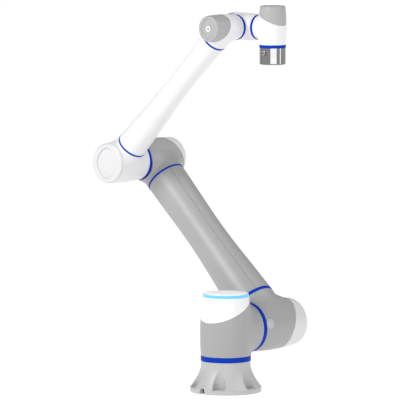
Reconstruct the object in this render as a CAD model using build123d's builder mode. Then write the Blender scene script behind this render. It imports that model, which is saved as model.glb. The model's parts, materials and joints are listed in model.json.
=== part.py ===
from build123d import *
import os
from math import cos, radians, sin

# Six-axis collaborative robot arm, standing on its base flange. Millimetres, +Z up.
# Origin: centre of the base's underside. +Y is the axis of joint 2, +X the way the forearm reaches.
# The rest pose leans the lower arm 45 degrees back and the forearm 45 degrees forward.

# Driving dimensions: the arm's kinematics
SHOULDER_HEIGHT = 226.0
UPPER_ARM = 822.0
FOREARM = 746.0
WRIST_REACH = 132.0
RING_1_HEIGHT = 123.4
RING_2_OFFSET = 118.0
LOWER_ARM_OFFSET = 237.0
RING_3_OFFSET = 148.0
FOREARM_OFFSET = 48.0
RING_4_OFFSET = 113.0
WRIST_OFFSET = 170.0
RING_TO_AXIS = 67.4
LEAN = 45.0

# Joint modules, numbered from the base: radius and width of the ring, wall of the housing
RING_RADIUS = {1: 92.0, 2: 92.0, 3: 72.5, 4: 46.5, 5: 46.5, 6: 48.5}
RING_WIDTH = {1: 18.0, 2: 18.0, 3: 12.0, 4: 10.0, 5: 10.0, 6: 10.0}
HOUSING_WALL = {1: 6.0, 2: 6.0, 3: 5.0, 4: 4.0, 5: 4.0, 6: 4.0}
RING_THICKNESS = 7.0
RING_PROUD = 0.6
RING_BEVEL = 0.8
GAP = 1.0
DECK = 8.0
WRIST_DECK = 5.0

# Column top
LIGHT_LOW = 351.4
LIGHT_HIGH = 361.4
LIGHT_RADIUS = 85.0
LIGHT_INNER_RADIUS = 77.0
LID_TOP = 363.6
LID_RADIUS = 84.0
LID_EDGE = 1.6
TOP_DISC_RADIUS = 75.5
TOP_DISC_HEIGHT = 0.8

# Housings: distance from each joint's ring to the far end of its cap
COLUMN_END = LIGHT_LOW - RING_1_HEIGHT
HIP_END = 250.0
ELBOW_END = 200.0
ELBOW_COVER_END = 168.0
WRIST_1_END = 152.5
WRIST_2_END = 146.5
WRIST_3_END = 149.4

# Housings: radius near the ring, half way along and at the cap's end, and the rounding of that end
COLUMN_RADII = (92.0, 94.5, LIGHT_RADIUS)
HIP_RADII = (92.0, 95.5, 87.0)
HIP_EDGE = 14.0
ELBOW_RADII = (72.5, 79.0, 75.5)
ELBOW_EDGE = 12.0
ELBOW_COVER_RADII = (72.5, 77.5, 73.0)
ELBOW_COVER_EDGE = 8.0
WRIST_RADII = {4: (46.5, 51.0, 47.5), 5: (46.5, 51.0, 47.0), 6: (48.5, 51.0, 47.0)}
WRIST_EDGE = 6.0

# Side branches of the housings: radius at the barrel and at the open end, and the cable bore
COLUMN_BRANCH = (90.5, 92.0)
HIP_BRANCH = (86.5, 86.0)
ELBOW_BRANCH = (76.0, 75.6)
ELBOW_COVER_BRANCH = (57.5, 57.0)
WRIST_1_BRANCH = (48.5, 48.2)
WRIST_BRANCH = (47.5, 46.5)
HIP_BORE = 40.0
ELBOW_BORE = 34.0
ELBOW_COVER_BORE = 20.0
WRIST_1_BORE = 18.0
WRIST_BORE = 14.0

# End walls of the housings at the cap, thick enough for the recess in the face where there is one
COLUMN_END_WALL = 6.0
ELBOW_END_WALL = 5.0
DISHED_ELBOW_WALL = 8.0
DISHED_WRIST_WALL = 9.0

# Seams between a housing and its cap: height above the branch's axis, and rise towards the branch
COLUMN_SEAM = (305.0 - SHOULDER_HEIGHT, 0.5)
HIP_SEAM = (72.0, 0.42)
ELBOW_SEAM = (66.0, 0.4)
ELBOW_COVER_SEAM = (ELBOW_COVER_END - RING_3_OFFSET + FOREARM_OFFSET - 9.0, 0.0)
WRIST_1_SEAM = (41.0, 0.57)
WRIST_SEAM = (33.5, 0.46)

# Recesses in the faces of the elbow cover and of the first wrist cap: width, height and depth
ELBOW_DISH = (88.0, 98.0, 5.0)
WRIST_DISH = (56.0, 62.0, 3.0)
PLUG_RADIUS = 12.0
PLUG_HEIGHT = 2.0

# Trim rings on the links: start and end measured from the axis of joint 2 or of joint 3, and radius
HIP_TRIM = (103.0, 115.0)
ELBOW_TRIM = (UPPER_ARM - 99.5, UPPER_ARM - 92.5)
FORE_TRIM = (92.5, 100.0)
WRIST_TRIM = (FOREARM - 71.0, FOREARM - 63.5)
HIP_TRIM_RADIUS = 86.6
ELBOW_TRIM_RADIUS = 76.2
FORE_TRIM_RADIUS = 57.4
WRIST_TRIM_RADIUS = 48.8

# Tubes between the housings: outer radius and distance along the link
LOWER_TUBE = [
    (86.0, HIP_TRIM[1]), (80.5, 220.0), (74.5, 325.0), (70.5, 450.0), (72.5, 580.0),
    (75.2, ELBOW_TRIM[0]),
]
FORE_TUBE = [
    (56.6, FORE_TRIM[1]), (52.2, 200.0), (47.2, 300.0), (43.4, 390.0), (42.4, 470.0),
    (43.6, 550.0), (48.0, WRIST_TRIM[0]),
]

# Base casting
FLANGE_RADIUS = 131.4
FLANGE_HEIGHT = 17.0
NECK_HEIGHT = 98.0
NECK_RADIUS = 91.5
FLARE_POINT = (110.9, 48.0)
BASE_CAVITY_RADIUS = 72.0
BASE_CAVITY_HEIGHT = 92.0
BASE_BORE_RADIUS = 27.0
BOLT_COUNT = 6
BOLT_CIRCLE = 234.0
BOLT_HOLE_RADIUS = 5.5
POCKET_RADIUS = 24.5
PLATE_RADIUS = 80.0
PLATE_THICKNESS = 4.0
PLATE_SCREW_CIRCLE = 152.0
PLATE_SCREW_HEAD = 3.5
PLATE_SCREW_RADIUS = 2.0
PLATE_SCREW_HEAD_HEIGHT = 2.4
PLATE_SCREW_LENGTH = 12.0
BOSS_FACE = 127.0
BOSS_WIDTH = 30.0
BOSS_HEIGHT = 30.0
BOSS_DEPTH = 45.0
NICHE_WIDTH = 21.0
NICHE_HEIGHT = 23.0
NICHE_DEPTH = 14.0
EARTH_SCREW_HEIGHT = 11.0
EARTH_HEAD_RADIUS = 5.0
EARTH_HEAD_HEIGHT = 4.0
EARTH_SHANK_RADIUS = 2.5
EARTH_SHANK_LENGTH = 10.0

# Tool flange, to ISO 9409-1-50-4-M6
TOOL_FACE_DROP = 134.0
TOOL_RADIUS = 48.4
TOOL_EDGE = 4.0
TOOL_PCD = 50.0
TOOL_SCREW_COUNT = 4
TOOL_HOLE_RADIUS = 2.5
TOOL_HOLE_DEPTH = 12.0
TOOL_BORE_RADIUS = 15.75
TOOL_BORE_DEPTH = 7.0
TOOL_CAVITY_RADIUS = 23.0
TOOL_FLOOR = 22.0
CONNECTOR_RADIUS = 9.0
CONNECTOR_CLEARANCE = 0.15
CONNECTOR_SEAT = 43.0
CONNECTOR_FACE = 57.0
CONNECTOR_RISE = 43.0
CONNECTOR_SOCKET_RADIUS = 5.5
CONNECTOR_SOCKET_DEPTH = 8.0

# Drive in each joint, as shares of the ring's radius
SHAFT_BORE = 0.16
SHAFT = 0.3
ROTOR = 0.52
WAVE_GENERATOR = 0.6
BEARING = 0.64
STATOR_BORE = 0.56
FLANGE_LENGTH = 0.14
GEAR_LENGTH = 0.38
WAVE_LENGTH = 0.36
STATOR_SPAN = (0.48, 0.84)
MAGNET_SPAN = (0.52, 0.8)
SHAFT_LENGTH = 0.95
BEARING_GAP = 1.0
GEAR_GAP = 2.0
ROTOR_GAP = 1.5

LOWER_ARM_WAY = Vector(-sin(radians(LEAN)), 0, cos(radians(LEAN)))
FOREARM_WAY = Vector(sin(radians(LEAN)), 0, cos(radians(LEAN)))
AXIS_2 = Vector(0, 0, SHOULDER_HEIGHT)
AXIS_3 = AXIS_2 + LOWER_ARM_WAY * UPPER_ARM
AXIS_4 = AXIS_3 + FOREARM_WAY * FOREARM
RIGHT = Vector(1, 0, 0)
ASIDE = Vector(0, 1, 0)
UP = Vector(0, 0, 1)

# A joint's plane lies at the middle of its ring and looks into the housing that holds the motor
JOINT_PLANE = {
    1: Plane(origin=UP * RING_1_HEIGHT, x_dir=RIGHT, z_dir=UP),
    2: Plane(origin=AXIS_2 + ASIDE * RING_2_OFFSET, x_dir=RIGHT, z_dir=ASIDE),
    3: Plane(origin=AXIS_3 + ASIDE * RING_3_OFFSET, x_dir=RIGHT, z_dir=ASIDE),
    4: Plane(origin=AXIS_4 + ASIDE * RING_4_OFFSET, x_dir=RIGHT, z_dir=ASIDE * -1),
    5: Plane(
        origin=AXIS_4 + RIGHT * RING_TO_AXIS + ASIDE * WRIST_OFFSET, x_dir=ASIDE, z_dir=RIGHT * -1
    ),
    6: Plane(
        origin=AXIS_4 + RIGHT * WRIST_REACH + ASIDE * WRIST_OFFSET - UP * RING_TO_AXIS,
        x_dir=RIGHT,
        z_dir=UP,
    ),
}
ELBOW_COVER_PLANE = Plane(origin=JOINT_PLANE[3].origin, x_dir=RIGHT, z_dir=ASIDE * -1)
LOWER_ARM_PLANE = Plane(origin=AXIS_2 + ASIDE * LOWER_ARM_OFFSET, x_dir=ASIDE, z_dir=LOWER_ARM_WAY)
FOREARM_PLANE = Plane(origin=AXIS_3 + ASIDE * FOREARM_OFFSET, x_dir=ASIDE, z_dir=FOREARM_WAY)


def save(piece, label):
    """Name a finished piece and write it to its own file."""
    piece.part.label = label
    export_step(piece.part, f"parts/{label}.step")


def axis_of(plane):
    return Axis(plane.origin, plane.z_dir)


def side_plane(plane):
    """The plane whose X is a radius of the given plane and whose Y is its axis."""
    return Plane(origin=plane.origin, x_dir=plane.x_dir, z_dir=plane.y_dir * -1)


def barrel(plane, start, end, radii, edge=0.0):
    """Half section of a barrel with bowed sides (near, middle, far) and a rounded far edge."""
    near, middle, far = radii
    with BuildSketch(side_plane(plane)) as section:
        with BuildLine():
            Polyline((near, start), (0, start), (0, end), (far, end))
            ThreePointArc((far, end), (middle, (start + end) / 2), (near, start))
        make_face()
        if edge > 0:
            fillet(section.vertices().sort_by_distance((far, end))[0], edge)
    return section.sketch


def taper(plane, length, near, far):
    """Half section of a side branch that narrows or widens a little on its way."""
    with BuildSketch(side_plane(plane)) as section:
        with BuildLine():
            Polyline((0, 0), (near, 0), (far, length), (0, length), close=True)
        make_face()
    return section.sketch


def steps(plane, levels, bore=0.0):
    """Half section of a stepped turned piece: a list of (radius, low, high) bands."""
    with BuildSketch(side_plane(plane)) as section:
        for radius, low, high in levels:
            with Locations((bore, low)):
                Rectangle(radius - bore, high - low, align=(Align.MIN, Align.MIN))
    return section.sketch


def swept_wall(plane, outline, wall):
    """Half section of a tube whose outer wall follows the outline's (radius, height) points."""
    start = outline[0]
    end = outline[-1]
    inner = [(radius - wall, height) for radius, height in outline]
    with BuildSketch(side_plane(plane)) as section:
        with BuildLine():
            Spline(*outline)
            Line(end, inner[-1])
            Spline(*reversed(inner))
            Line(inner[0], start)
        make_face()
    return section.sketch


def arch(plane, width, height):
    """A doorway shape that stands on the plane's X axis."""
    with BuildSketch(plane) as doorway:
        Rectangle(width, height - width / 2, align=(Align.CENTER, Align.MIN))
        with Locations((0, height - width / 2)):
            Circle(width / 2)
    return doorway.sketch


def diamond(plane, width, height):
    """A rounded diamond, the shape of the recesses in the caps' faces."""
    with BuildSketch(plane) as outline:
        with BuildLine():
            Polyline((width / 2, 0), (0, height / 2), (-width / 2, 0), (0, -height / 2), close=True)
        make_face()
        fillet(outline.vertices(), width * 0.2)
    return outline.sketch


def ring(plane, start, end, radius):
    """A thin trim ring, its outer edges eased."""
    with BuildPart() as band:
        revolve(steps(plane, [(radius, start, end)], radius - RING_THICKNESS), axis=axis_of(plane))
        chamfer(band.edges().filter_by(GeomType.CIRCLE).group_by(SortBy.RADIUS)[-1], RING_BEVEL)
    return band


def housing(plane, span, radii, edge, wall, end_wall, height, way, length, branch, deck, bore,
            seam, near_deck=0.0, dish=None):
    """A hollow housing and its end cap, parted at a slanted seam.

    The barrel runs over span on the plane's axis; the branch leaves it at height, along way.
    seam: height above the branch where the seam crosses the axis, and its rise towards the branch.
    dish: width, height and depth of a recess in the cap's face.
    """
    start, end = span
    near, far = branch
    branch_plane = Plane(origin=plane.origin + plane.z_dir * height, z_dir=way)
    hollow_radii = [radius - wall for radius in radii]
    hollow_edge = max(edge - wall, 1.0)
    seam_plane = Plane(
        origin=plane.origin + plane.z_dir * (height + seam[0]), z_dir=plane.z_dir - way * seam[1]
    )
    with BuildPart() as shell:
        revolve(barrel(plane, start, end, radii, edge), axis=axis_of(plane))
        revolve(taper(branch_plane, length, near, far), axis=axis_of(branch_plane))
        revolve(
            barrel(plane, start + near_deck, end - end_wall, hollow_radii, hollow_edge),
            axis=axis_of(plane),
            mode=Mode.SUBTRACT,
        )
        revolve(
            taper(branch_plane, length - deck, near - wall, far - wall),
            axis=axis_of(branch_plane),
            mode=Mode.SUBTRACT,
        )
        cable_way = steps(branch_plane, [(bore, 0, length)])
        revolve(cable_way, axis=axis_of(branch_plane), mode=Mode.SUBTRACT)
        if near_deck > 0:
            near_bore = steps(plane, [(bore, start, start + near_deck)])
            revolve(near_bore, axis=axis_of(plane), mode=Mode.SUBTRACT)
        if dish is not None:
            recess = diamond(plane.offset(end), dish[0], dish[1])
            extrude(recess, amount=-dish[2], dir=plane.z_dir, mode=Mode.SUBTRACT)
    with BuildPart() as main_shell:
        add(shell.part)
        split(bisect_by=seam_plane, keep=Keep.BOTTOM)
    with BuildPart() as cap:
        add(shell.part)
        split(bisect_by=seam_plane, keep=Keep.TOP)
    return main_shell, cap


os.makedirs("parts", exist_ok=True)

# ---------------------------------------------------------------- base
ring_1_low = RING_1_HEIGHT - RING_WIDTH[1] / 2
boss_plane = Plane(origin=(0, -BOSS_FACE, 0), x_dir=(1, 0, 0), z_dir=(0, -1, 0))
earth_plane = Plane(
    origin=(0, NICHE_DEPTH - BOSS_FACE, EARTH_SCREW_HEIGHT), x_dir=(1, 0, 0), z_dir=(0, -1, 0)
)
with BuildPart() as base_casting:
    with BuildSketch(side_plane(Plane.XY)):
        with BuildLine():
            Polyline(
                (NECK_RADIUS, NECK_HEIGHT), (NECK_RADIUS, ring_1_low), (0, ring_1_low),
                (0, 0), (FLANGE_RADIUS, 0), (FLANGE_RADIUS, FLANGE_HEIGHT),
            )
            Spline(
                (FLANGE_RADIUS, FLANGE_HEIGHT), FLARE_POINT, (NECK_RADIUS, NECK_HEIGHT),
                tangents=((-0.7, 1), (0, 1)),
            )
        make_face()
    revolve(axis=Axis.Z)
    extrude(arch(boss_plane, BOSS_WIDTH, BOSS_HEIGHT), amount=-BOSS_DEPTH)
    with BuildSketch(Plane.XY.offset(FLANGE_HEIGHT)):
        with PolarLocations(BOLT_CIRCLE / 2, BOLT_COUNT):
            Circle(POCKET_RADIUS)
    extrude(amount=ring_1_low, mode=Mode.SUBTRACT)
    with BuildSketch():
        with PolarLocations(BOLT_CIRCLE / 2, BOLT_COUNT):
            Circle(BOLT_HOLE_RADIUS)
    extrude(amount=FLANGE_HEIGHT, mode=Mode.SUBTRACT)
    extrude(arch(boss_plane, NICHE_WIDTH, NICHE_HEIGHT), amount=-NICHE_DEPTH, mode=Mode.SUBTRACT)
    with BuildSketch(earth_plane):
        Circle(EARTH_SHANK_RADIUS)
    extrude(amount=-EARTH_SHANK_LENGTH, mode=Mode.SUBTRACT)
    base_hollow = [
        (PLATE_RADIUS, 0, PLATE_THICKNESS),
        (BASE_CAVITY_RADIUS, 0, BASE_CAVITY_HEIGHT),
        (BASE_BORE_RADIUS, 0, ring_1_low),
    ]
    revolve(steps(Plane.XY, base_hollow), axis=Axis.Z, mode=Mode.SUBTRACT)
    with BuildSketch(Plane.XY.offset(PLATE_THICKNESS)):
        with PolarLocations(PLATE_SCREW_CIRCLE / 2, BOLT_COUNT):
            Circle(PLATE_SCREW_RADIUS)
    extrude(amount=PLATE_SCREW_LENGTH - PLATE_THICKNESS, mode=Mode.SUBTRACT)
save(base_casting, "base_casting")

with BuildPart() as base_bottom_plate:
    with BuildSketch():
        Circle(PLATE_RADIUS)
    extrude(amount=PLATE_THICKNESS)
    with Locations(Plane(origin=(0, 0, 0), z_dir=(0, 0, -1))):
        with PolarLocations(PLATE_SCREW_CIRCLE / 2, BOLT_COUNT):
            CounterBoreHole(PLATE_SCREW_RADIUS, PLATE_SCREW_HEAD, PLATE_SCREW_HEAD_HEIGHT)
save(base_bottom_plate, "base_bottom_plate")

with BuildPart() as base_plate_screws:
    with BuildSketch():
        with PolarLocations(PLATE_SCREW_CIRCLE / 2, BOLT_COUNT):
            Circle(PLATE_SCREW_HEAD)
    extrude(amount=PLATE_SCREW_HEAD_HEIGHT)
    with BuildSketch():
        with PolarLocations(PLATE_SCREW_CIRCLE / 2, BOLT_COUNT):
            Circle(PLATE_SCREW_RADIUS)
    extrude(amount=PLATE_SCREW_LENGTH)
save(base_plate_screws, "base_plate_screws")

with BuildPart() as earth_screw:
    with BuildSketch(earth_plane):
        Circle(EARTH_SHANK_RADIUS)
    extrude(amount=-EARTH_SHANK_LENGTH)
    with BuildSketch(earth_plane):
        Circle(EARTH_HEAD_RADIUS)
    extrude(amount=EARTH_HEAD_HEIGHT)
    with BuildSketch(earth_plane.offset(EARTH_HEAD_HEIGHT)):
        RegularPolygon(EARTH_HEAD_RADIUS / 2, 6)
    extrude(amount=-EARTH_HEAD_HEIGHT / 2, mode=Mode.SUBTRACT)
save(earth_screw, "earth_screw")

# ---------------------------------------------------------------- the joint rings and trim rings
for joint, plane in JOINT_PLANE.items():
    half = RING_WIDTH[joint] / 2
    joint_ring = ring(plane, -half, half, RING_RADIUS[joint] + RING_PROUD)
    save(joint_ring, f"joint_{joint}_ring")

TRIM_RINGS = {
    "hip_trim_ring": (LOWER_ARM_PLANE, HIP_TRIM, HIP_TRIM_RADIUS),
    "elbow_trim_ring": (LOWER_ARM_PLANE, ELBOW_TRIM, ELBOW_TRIM_RADIUS),
    "forearm_trim_ring": (FOREARM_PLANE, FORE_TRIM, FORE_TRIM_RADIUS),
    "wrist_trim_ring": (FOREARM_PLANE, WRIST_TRIM, WRIST_TRIM_RADIUS),
}
for name, (plane, span, radius) in TRIM_RINGS.items():
    trim_ring = ring(plane, span[0], span[1], radius)
    save(trim_ring, name)

# ---------------------------------------------------------------- the housings and their caps
HOUSINGS = {
    "column": dict(
        plane=JOINT_PLANE[1], span=(RING_WIDTH[1] / 2 + GAP, COLUMN_END), radii=COLUMN_RADII,
        edge=0, wall=HOUSING_WALL[1], end_wall=COLUMN_END_WALL,
        height=SHOULDER_HEIGHT - RING_1_HEIGHT, way=ASIDE,
        length=RING_2_OFFSET - RING_WIDTH[2] / 2, branch=COLUMN_BRANCH, deck=DECK,
        bore=BASE_BORE_RADIUS, seam=COLUMN_SEAM,
    ),
    "hip": dict(
        plane=JOINT_PLANE[2], span=(RING_WIDTH[2] / 2 + GAP, HIP_END), radii=HIP_RADII,
        edge=HIP_EDGE, wall=HOUSING_WALL[2], end_wall=HOUSING_WALL[2],
        height=LOWER_ARM_OFFSET - RING_2_OFFSET, way=LOWER_ARM_WAY, length=HIP_TRIM[0],
        branch=HIP_BRANCH, deck=DECK, bore=HIP_BORE, seam=HIP_SEAM,
    ),
    "elbow": dict(
        plane=JOINT_PLANE[3], span=(RING_WIDTH[3] / 2 + GAP, ELBOW_END), radii=ELBOW_RADII,
        edge=ELBOW_EDGE, wall=HOUSING_WALL[3], end_wall=ELBOW_END_WALL,
        height=LOWER_ARM_OFFSET - RING_3_OFFSET, way=LOWER_ARM_WAY * -1,
        length=UPPER_ARM - ELBOW_TRIM[1], branch=ELBOW_BRANCH, deck=DECK, bore=ELBOW_BORE,
        seam=ELBOW_SEAM,
    ),
    "elbow_cover": dict(
        plane=ELBOW_COVER_PLANE, span=(RING_WIDTH[3] / 2, ELBOW_COVER_END),
        radii=ELBOW_COVER_RADII, edge=ELBOW_COVER_EDGE, wall=HOUSING_WALL[3],
        end_wall=DISHED_ELBOW_WALL, height=RING_3_OFFSET - FOREARM_OFFSET, way=FOREARM_WAY,
        length=FORE_TRIM[0], branch=ELBOW_COVER_BRANCH, deck=DECK, bore=ELBOW_COVER_BORE,
        seam=ELBOW_COVER_SEAM, near_deck=DECK, dish=ELBOW_DISH,
    ),
    "wrist_1": dict(
        plane=JOINT_PLANE[4], span=(RING_WIDTH[4] / 2 + GAP, WRIST_1_END), radii=WRIST_RADII[4],
        edge=WRIST_EDGE, wall=HOUSING_WALL[4], end_wall=DISHED_WRIST_WALL,
        height=RING_4_OFFSET - FOREARM_OFFSET, way=FOREARM_WAY * -1,
        length=FOREARM - WRIST_TRIM[1], branch=WRIST_1_BRANCH, deck=WRIST_DECK,
        bore=WRIST_1_BORE, seam=WRIST_1_SEAM, dish=WRIST_DISH,
    ),
    "wrist_2": dict(
        plane=JOINT_PLANE[5], span=(RING_WIDTH[5] / 2 + GAP, WRIST_2_END), radii=WRIST_RADII[5],
        edge=WRIST_EDGE, wall=HOUSING_WALL[5], end_wall=WRIST_DECK, height=RING_TO_AXIS,
        way=ASIDE * -1, length=WRIST_OFFSET - RING_4_OFFSET - RING_WIDTH[4] / 2,
        branch=WRIST_BRANCH, deck=WRIST_DECK, bore=WRIST_BORE, seam=WRIST_SEAM,
    ),
    "wrist_3": dict(
        plane=JOINT_PLANE[6], span=(RING_WIDTH[6] / 2 + GAP, WRIST_3_END), radii=WRIST_RADII[6],
        edge=WRIST_EDGE, wall=HOUSING_WALL[6], end_wall=WRIST_DECK, height=RING_TO_AXIS,
        way=RIGHT * -1, length=WRIST_REACH - RING_TO_AXIS - RING_WIDTH[5] / 2,
        branch=WRIST_BRANCH, deck=WRIST_DECK, bore=WRIST_BORE, seam=WRIST_SEAM,
    ),
}
for name, facts in HOUSINGS.items():
    main_shell, cap = housing(**facts)
    save(main_shell, f"{name}_housing")
    save(cap, f"{name}_cap")

# ---------------------------------------------------------------- column top
with BuildPart() as status_light_ring:
    light_band = [(LIGHT_RADIUS, LIGHT_LOW, LIGHT_HIGH)]
    revolve(steps(Plane.XY, light_band, LIGHT_INNER_RADIUS), axis=Axis.Z)
save(status_light_ring, "status_light_ring")

with BuildPart() as column_lid:
    lid_levels = [(LIGHT_INNER_RADIUS, LIGHT_LOW, LIGHT_HIGH), (LID_RADIUS, LIGHT_HIGH, LID_TOP)]
    revolve(steps(Plane.XY, lid_levels), axis=Axis.Z)
    fillet(column_lid.edges().filter_by(GeomType.CIRCLE).sort_by(Axis.Z)[-1], LID_EDGE)
    revolve(steps(Plane.XY, [(TOP_DISC_RADIUS, LIGHT_HIGH, LID_TOP + TOP_DISC_HEIGHT)]), axis=Axis.Z)
save(column_lid, "column_lid")

# ---------------------------------------------------------------- the tubes between the housings
with BuildPart() as lower_arm_tube:
    revolve(swept_wall(LOWER_ARM_PLANE, LOWER_TUBE, HOUSING_WALL[2]), axis=axis_of(LOWER_ARM_PLANE))
save(lower_arm_tube, "lower_arm_tube")

with BuildPart() as forearm_tube:
    revolve(swept_wall(FOREARM_PLANE, FORE_TUBE, HOUSING_WALL[4]), axis=axis_of(FOREARM_PLANE))
save(forearm_tube, "forearm_tube")

# ---------------------------------------------------------------- wrist plug
dish_floor = WRIST_1_END - WRIST_DISH[2]
with BuildPart() as wrist_plug:
    plug_band = [(PLUG_RADIUS, dish_floor, dish_floor + PLUG_HEIGHT)]
    revolve(steps(JOINT_PLANE[4], plug_band), axis=axis_of(JOINT_PLANE[4]))
save(wrist_plug, "wrist_plug")

# ---------------------------------------------------------------- tool flange
tool_axis_point = AXIS_4 + RIGHT * WRIST_REACH + ASIDE * WRIST_OFFSET
TOOL_PLANE = Plane(origin=tool_axis_point - UP * TOOL_FACE_DROP, x_dir=RIGHT, z_dir=UP)
tool_height = TOOL_FACE_DROP - RING_TO_AXIS - RING_WIDTH[6] / 2
CONNECTOR_PLANE = Plane(
    origin=TOOL_PLANE.origin + UP * CONNECTOR_RISE, x_dir=RIGHT, z_dir=ASIDE * -1
)
with BuildPart() as tool_flange:
    revolve(steps(TOOL_PLANE, [(TOOL_RADIUS, 0, tool_height)]), axis=axis_of(TOOL_PLANE))
    fillet(tool_flange.edges().filter_by(GeomType.CIRCLE).sort_by(Axis.Z)[0], TOOL_EDGE)
    tool_hollow = [
        (TOOL_BORE_RADIUS, 0, TOOL_BORE_DEPTH),
        (TOOL_CAVITY_RADIUS, TOOL_FLOOR, tool_height),
    ]
    revolve(steps(TOOL_PLANE, tool_hollow), axis=axis_of(TOOL_PLANE), mode=Mode.SUBTRACT)
    with BuildSketch(TOOL_PLANE):
        with PolarLocations(TOOL_PCD / 2, TOOL_SCREW_COUNT, start_angle=45):
            Circle(TOOL_HOLE_RADIUS)
    extrude(amount=TOOL_HOLE_DEPTH, mode=Mode.SUBTRACT)
    seat_radius = CONNECTOR_RADIUS + CONNECTOR_CLEARANCE
    seat = steps(CONNECTOR_PLANE, [(seat_radius, CONNECTOR_SEAT, TOOL_RADIUS + 1)])
    revolve(seat, axis=axis_of(CONNECTOR_PLANE), mode=Mode.SUBTRACT)
save(tool_flange, "tool_flange")

with BuildPart() as tool_connector:
    body_band = [(CONNECTOR_RADIUS, CONNECTOR_SEAT, CONNECTOR_FACE)]
    revolve(steps(CONNECTOR_PLANE, body_band), axis=axis_of(CONNECTOR_PLANE))
    socket_band = [
        (CONNECTOR_SOCKET_RADIUS, CONNECTOR_FACE - CONNECTOR_SOCKET_DEPTH, CONNECTOR_FACE)
    ]
    socket = steps(CONNECTOR_PLANE, socket_band)
    revolve(socket, axis=axis_of(CONNECTOR_PLANE), mode=Mode.SUBTRACT)
save(tool_connector, "tool_connector")

# ---------------------------------------------------------------- the drive inside each joint
for joint, plane in JOINT_PLANE.items():
    size = RING_RADIUS[joint]
    half = RING_WIDTH[joint] / 2
    mouth = half + GAP
    fit_radius = size - HOUSING_WALL[joint]
    gear_low = mouth + GEAR_GAP
    flange_high = gear_low + FLANGE_LENGTH * size
    rotor_low = flange_high + ROTOR_GAP
    line = axis_of(plane)

    with BuildPart() as output_flange:
        flange_steps = [(BEARING * size - BEARING_GAP, -half, flange_high)]
        revolve(steps(plane, flange_steps, SHAFT_BORE * size), axis=line)
    save(output_flange, f"joint_{joint}_output_flange")

    with BuildPart() as gear_unit:
        gear_steps = [(fit_radius, gear_low, gear_low + GEAR_LENGTH * size)]
        revolve(steps(plane, gear_steps, BEARING * size), axis=line)
    save(gear_unit, f"joint_{joint}_gear_unit")

    with BuildPart() as rotor:
        rotor_steps = [
            (WAVE_GENERATOR * size, rotor_low, gear_low + WAVE_LENGTH * size),
            (SHAFT * size, rotor_low, mouth + SHAFT_LENGTH * size),
            (ROTOR * size, mouth + MAGNET_SPAN[0] * size, mouth + MAGNET_SPAN[1] * size),
        ]
        revolve(steps(plane, rotor_steps, SHAFT_BORE * size), axis=line)
    save(rotor, f"joint_{joint}_rotor")

    with BuildPart() as stator:
        stator_low, stator_high = STATOR_SPAN
        stator_steps = [(fit_radius, mouth + stator_low * size, mouth + stator_high * size)]
        revolve(steps(plane, stator_steps, STATOR_BORE * size), axis=line)
    save(stator, f"joint_{joint}_stator")
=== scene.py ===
import json
import math

import bmesh
import bpy
import numpy as np
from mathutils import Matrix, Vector


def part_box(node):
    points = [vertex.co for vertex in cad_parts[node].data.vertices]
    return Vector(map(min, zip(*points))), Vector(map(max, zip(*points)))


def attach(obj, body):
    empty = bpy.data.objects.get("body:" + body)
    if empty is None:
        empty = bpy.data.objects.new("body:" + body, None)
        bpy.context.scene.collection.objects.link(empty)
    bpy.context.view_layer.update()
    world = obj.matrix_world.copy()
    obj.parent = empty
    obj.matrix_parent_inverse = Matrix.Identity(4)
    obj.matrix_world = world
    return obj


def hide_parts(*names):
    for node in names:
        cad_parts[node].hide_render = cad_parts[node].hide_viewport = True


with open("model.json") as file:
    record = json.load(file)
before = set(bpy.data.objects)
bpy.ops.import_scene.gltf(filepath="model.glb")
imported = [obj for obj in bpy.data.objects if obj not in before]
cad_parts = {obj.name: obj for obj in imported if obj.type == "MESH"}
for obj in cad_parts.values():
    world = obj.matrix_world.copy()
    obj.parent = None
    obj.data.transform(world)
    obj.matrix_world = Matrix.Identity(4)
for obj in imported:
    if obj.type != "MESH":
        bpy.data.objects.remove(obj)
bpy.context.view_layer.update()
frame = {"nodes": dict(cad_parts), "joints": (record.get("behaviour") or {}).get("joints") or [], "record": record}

# Everything below is worked out in millimetres and turned into metres on the way out.
MM = 0.001
JOINTS = {joint["name"]: joint for joint in frame["joints"]}


# ------------------------------------------------------------------ places read from the frame
def span(node, axis):
    """Lowest and highest coordinate of a CAD node along X, Y or Z, in millimetres."""
    low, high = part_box(node)
    return low[axis] / MM, high[axis] / MM


def middle(node, axis):
    low, high = span(node, axis)
    return (low + high) / 2


def joint_point(name):
    return np.array(JOINTS[name]["pos_m"]) / MM


def unit(vector):
    vector = np.array(vector, float)
    return vector / np.linalg.norm(vector)


X, Y, Z = 0, 1, 2
RIGHT, ASIDE, UP = np.eye(3)
AXIS_2 = joint_point("shoulder_lift") * [1, 0, 1]
AXIS_3 = joint_point("elbow_bend") * [1, 0, 1]
AXIS_4 = joint_point("wrist_1_bend") * [1, 0, 1]
LOWER_WAY = unit(AXIS_3 - AXIS_2)
FORE_WAY = unit(AXIS_4 - AXIS_3)
UPPER_ARM = np.linalg.norm(AXIS_3 - AXIS_2)
FOREARM = np.linalg.norm(AXIS_4 - AXIS_3)
LOWER_Y = middle("lower_arm_tube", Y)
FORE_Y = middle("forearm_tube", Y)
WRIST_Y = middle("tool_flange", Y)
WRIST_Z = AXIS_4[2]
TOOL_X = middle("tool_flange", X)
RING_1 = span("joint_1_ring", Z)
RING_2 = span("joint_2_ring", Y)
RING_3 = span("joint_3_ring", Y)
RING_4 = span("joint_4_ring", Y)
RING_5 = span("joint_5_ring", X)
RING_6 = span("joint_6_ring", Z)
GAP = span("column_housing", Z)[0] - RING_1[1]
LIGHT = span("status_light_ring", Z)
LID_TOP = span("column_lid", Z)[1]

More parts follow.
